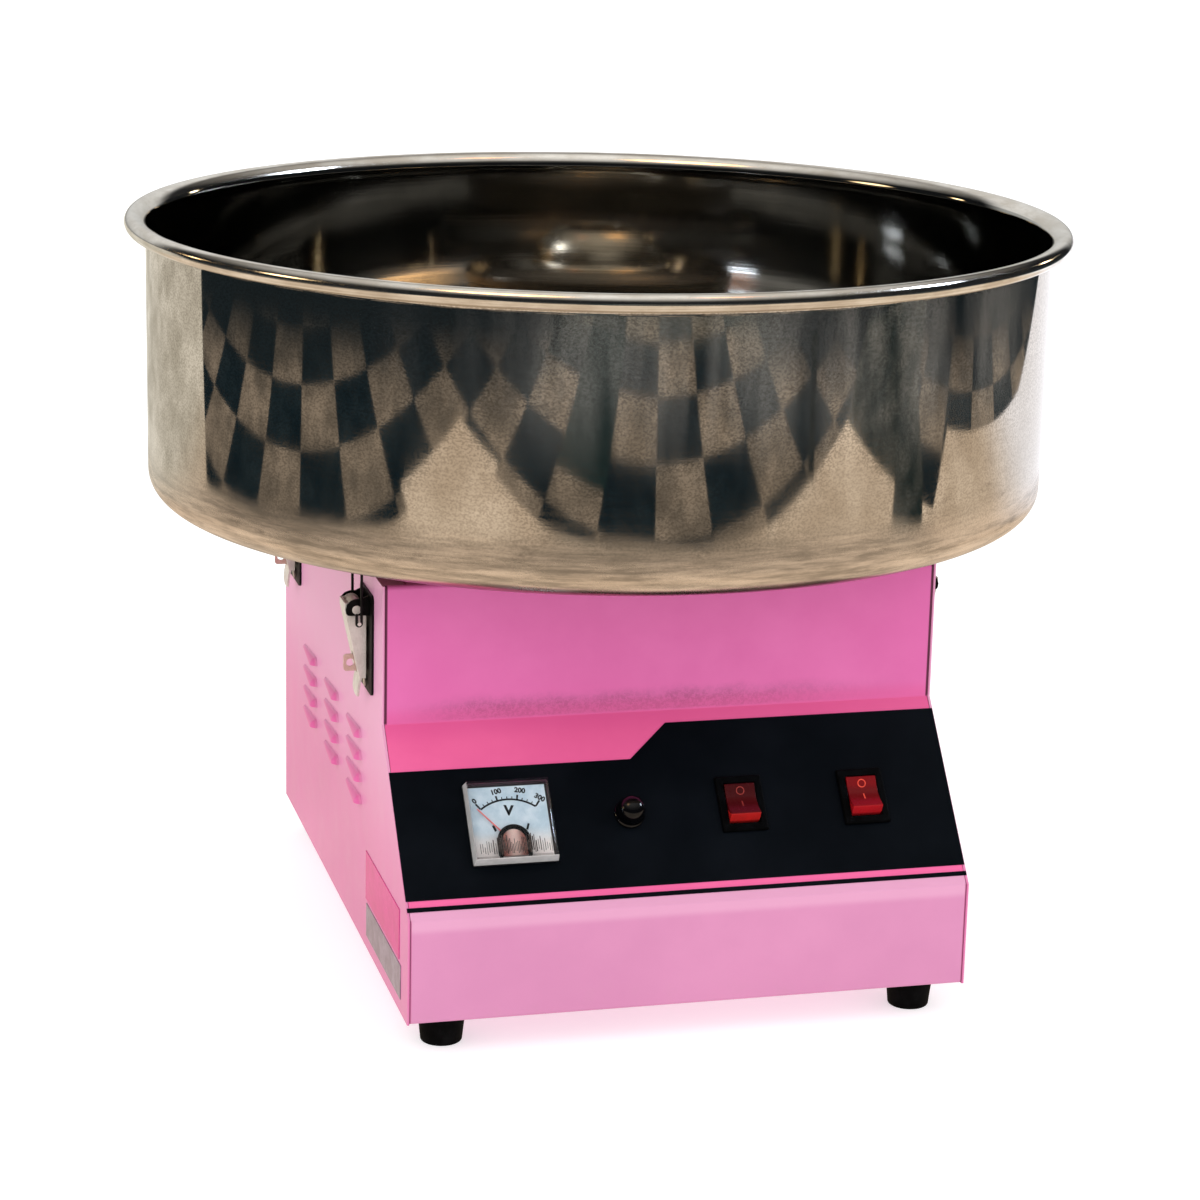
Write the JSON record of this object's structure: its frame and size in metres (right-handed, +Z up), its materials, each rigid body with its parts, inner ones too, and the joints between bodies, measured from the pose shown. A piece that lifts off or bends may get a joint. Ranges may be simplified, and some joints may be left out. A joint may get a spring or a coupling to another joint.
{
  "type": "candy floss machine",
  "caption": "Electric table-top candy floss machine: lift-off steel bowl on draw latches, heated spinning head, slanted panel with meter, dial knob and rocker switches.",
  "frame": {"origin": "axis of the bowl and of the spinning head, on the surface that the four feet stand on", "axes": "+Z up along the spin axis, -Y towards the operator and the control panel, +X to the operator's right"},
  "size_m": [0.5199, 0.52, 0.396],
  "materials": {
    "pink_paint": "semi-gloss pink powder coat",
    "overlay_film": "satin black printed film",
    "side_plate_film": "blank glossy film plates",
    "rubber": "matt black",
    "screw_steel": "zinc plated",
    "black_nylon": "moulded",
    "latch_steel": "pressed, nickel plated",
    "latch_dark_steel": "dark pressed steel",
    "wire_steel": "drawn wire",
    "bowl_steel": "spun stainless, polished with warm mottled stains",
    "meter_black": "moulded",
    "meter_dial": "printed dial",
    "meter_lens": "clear acrylic",
    "needle_red": "red",
    "switch_black": "fine moulded texture",
    "heater_red": "translucent red",
    "power_red": "translucent red",
    "knob_black": "glossy black",
    "zinc_steel": "zinc plated",
    "motor_aluminium": "die cast",
    "lamination": "stacked electrical steel",
    "copper": "enamelled copper wire",
    "brass": "turned",
    "carbon": "pressed carbon",
    "fan_plastic": "moulded",
    "head_steel": "spun stainless",
    "element_steel": "heat-tinted sheath",
    "board": "glass epoxy board",
    "terminal_white": "moulded"
  },
  "bodies": {
    "base": {"blank_side_plates": "side_plate_film", "bottom_plate": "pink_paint", "bowl_support_pads": "rubber", "brush_holder": "black_nylon", "brush_springs": "brass", "cable_gland": "black_nylon", "capacitor_clamp": "zinc_steel", "carbon_brushes": "carbon", "control_overlay": "overlay_film", "foot_screws_and_nuts": "screw_steel", "front_panel": "pink_paint", "heater_switch_housing": "switch_black", "latch_base_plates": "latch_dark_steel", "latch_pins_and_rollers": "latch_steel", "latch_rivets": "screw_steel", "left_side_panel": "pink_paint", "motor_bearings": "zinc_steel", "motor_dampers": "rubber", "motor_end_bells": "motor_aluminium", "motor_mount_plate": "zinc_steel", "panel_screws": "screw_steel", "potentiometer_body": "zinc_steel", "power_switch_housing": "switch_black", "rear_panel": "pink_paint", "regulator_board": "board", "right_side_panel": "pink_paint", "rubber_feet": "rubber", "run_capacitor": "motor_aluminium", "stator_core": "lamination", "stator_windings": "copper", "terminal_block": "terminal_white", "top_deck": "pink_paint", "voltmeter_case": "meter_black", "voltmeter_dial": "meter_dial", "voltmeter_lens": "meter_lens"},
    "bowl": {"bowl": "bowl_steel", "bowl_catches": "bowl_steel"},
    "spinner": {"rotor_shaft": "zinc_steel", "rotor_core": "lamination", "cooling_fan": "fan_plastic", "slip_ring_hub": "black_nylon", "slip_rings": "brass", "head_lower_pan": "head_steel", "perforated_band": "head_steel", "head_cover": "head_steel", "heater_element": "element_steel", "head_nut": "screw_steel"},
    "knob": {"heat_knob": "knob_black", "potentiometer_shaft": "zinc_steel"},
    "heater_rocker": {"heater_rocker": "heater_red"},
    "power_rocker": {"power_rocker": "power_red"},
    "needle": {"voltmeter_needle": "needle_red"},
    "lever_front_left": {"latch_lever_front_left": "latch_steel"},
    "bail_front_left": {"latch_bail_front_left": "wire_steel"},
    "lever_front_right": {"latch_lever_front_right": "latch_steel"},
    "bail_front_right": {"latch_bail_front_right": "wire_steel"},
    "lever_rear_left": {"latch_lever_rear_left": "latch_steel"},
    "bail_rear_left": {"latch_bail_rear_left": "wire_steel"},
    "lever_rear_right": {"latch_lever_rear_right": "latch_steel"},
    "bail_rear_right": {"latch_bail_rear_right": "wire_steel"}
  },
  "joints": [
    {"name": "bowl_lift", "type": "slide", "parent": "base", "child": "bowl", "axis": [0, 0, 1], "range_m": [0, 0.15]},
    {"name": "head_spin", "type": "hinge", "parent": "base", "child": "spinner", "pos_m": [0, 0, 0.26], "axis": [0, 0, 1], "continuous": true},
    {"name": "heat_knob_turn", "type": "hinge", "parent": "base", "child": "knob", "pos_m": [-0.027, -0.19736, 0.1171], "axis": [0, 0.7514, -0.6598], "range_deg": [0, 280]},
    {"name": "heater_switch_rock", "type": "hinge", "parent": "base", "child": "heater_rocker", "pos_m": [0.034, -0.1889, 0.11234], "axis": [1, 0, 0], "range_deg": [0, 22]},
    {"name": "power_switch_rock", "type": "hinge", "parent": "base", "child": "power_rocker", "pos_m": [0.101, -0.1889, 0.11234], "axis": [1, 0, 0], "range_deg": [0, 22]},
    {"name": "needle_swing", "type": "hinge", "parent": "base", "child": "needle", "pos_m": [-0.0905, -0.20256, 0.10436], "axis": [0, 0.7514, -0.6598], "range_deg": [0, 80], "stiffness_Nm_per_rad": 0.000005},
    {"name": "lever_swing_front_left", "type": "hinge", "parent": "base", "child": "lever_front_left", "pos_m": [-0.1578, -0.113, 0.2095], "axis": [0, 1, 0], "range_deg": [0, 105]},
    {"name": "bail_swing_front_left", "type": "hinge", "parent": "lever_front_left", "child": "bail_front_left", "pos_m": [-0.1572, -0.113, 0.203], "axis": [0, 1, 0], "range_deg": [-137, 0]},
    {"name": "lever_swing_front_right", "type": "hinge", "parent": "base", "child": "lever_front_right", "pos_m": [0.1578, -0.113, 0.2095], "axis": [0, -1, 0], "range_deg": [0, 105]},
    {"name": "bail_swing_front_right", "type": "hinge", "parent": "lever_front_right", "child": "bail_front_right", "pos_m": [0.1572, -0.113, 0.203], "axis": [0, -1, 0], "range_deg": [-137, 0]},
    {"name": "lever_swing_rear_left", "type": "hinge", "parent": "base", "child": "lever_rear_left", "pos_m": [-0.1578, 0.113, 0.2095], "axis": [0, 1, 0], "range_deg": [0, 105]},
    {"name": "bail_swing_rear_left", "type": "hinge", "parent": "lever_rear_left", "child": "bail_rear_left", "pos_m": [-0.1572, 0.113, 0.203], "axis": [0, 1, 0], "range_deg": [-137, 0]},
    {"name": "lever_swing_rear_right", "type": "hinge", "parent": "base", "child": "lever_rear_right", "pos_m": [0.1578, 0.113, 0.2095], "axis": [0, -1, 0], "range_deg": [0, 105]},
    {"name": "bail_swing_rear_right", "type": "hinge", "parent": "lever_rear_right", "child": "bail_rear_right", "pos_m": [0.1572, 0.113, 0.203], "axis": [0, -1, 0], "range_deg": [-137, 0]}
  ],
  "couplings": [
    {"joint": "bail_swing_front_left", "follows": "lever_swing_front_left", "ratio": -1.3},
    {"joint": "bail_swing_front_right", "follows": "lever_swing_front_right", "ratio": -1.3},
    {"joint": "bail_swing_rear_left", "follows": "lever_swing_rear_left", "ratio": -1.3},
    {"joint": "bail_swing_rear_right", "follows": "lever_swing_rear_right", "ratio": -1.3}
  ]
}
